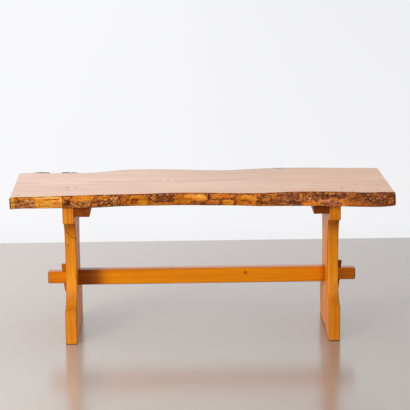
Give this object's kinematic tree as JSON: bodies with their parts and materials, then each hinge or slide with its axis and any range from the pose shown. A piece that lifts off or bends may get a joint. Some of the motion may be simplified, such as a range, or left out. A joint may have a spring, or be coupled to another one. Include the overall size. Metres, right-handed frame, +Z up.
{
  "type": "bench",
  "caption": "Low bench with a live-edge plank seat on two waisted plank trestles, tied by a rail whose through tenons are locked outside with wedges.",
  "frame": {"origin": "on the floor, under the middle of the whole bench", "axes": "+X along the seat towards the right of the picture, +Y from the front edge to the back edge, +Z up"},
  "size_m": [1.0911, 0.4316, 0.439],
  "materials": {
    "slab_wood": "clear oil, satin",
    "trestle_wood": "clear oil, satin",
    "batten_wood": "oiled, satin",
    "rail_wood": "clear oil, satin",
    "wedge_wood": "oiled, satin",
    "screw_steel": "zinc plated"
  },
  "bodies": {
    "bench": {"slab_top": "slab_wood", "left_trestle": "trestle_wood", "right_trestle": "trestle_wood", "left_batten": "batten_wood", "right_batten": "batten_wood", "stretcher_rail": "rail_wood", "left_batten_slab_screws": "screw_steel", "left_batten_trestle_screws": "screw_steel", "right_batten_slab_screws": "screw_steel", "right_batten_trestle_screws": "screw_steel"},
    "left_key": {"left_wedge": "wedge_wood"},
    "right_key": {"right_wedge": "wedge_wood"}
  },
  "joints": [
    {"name": "left_wedge_slide", "type": "slide", "parent": "bench", "child": "left_key", "axis": [0, 0, 1], "range_m": [0, 0.062]},
    {"name": "right_wedge_slide", "type": "slide", "parent": "bench", "child": "right_key", "axis": [0, 0, 1], "range_m": [0, 0.062]}
  ]
}
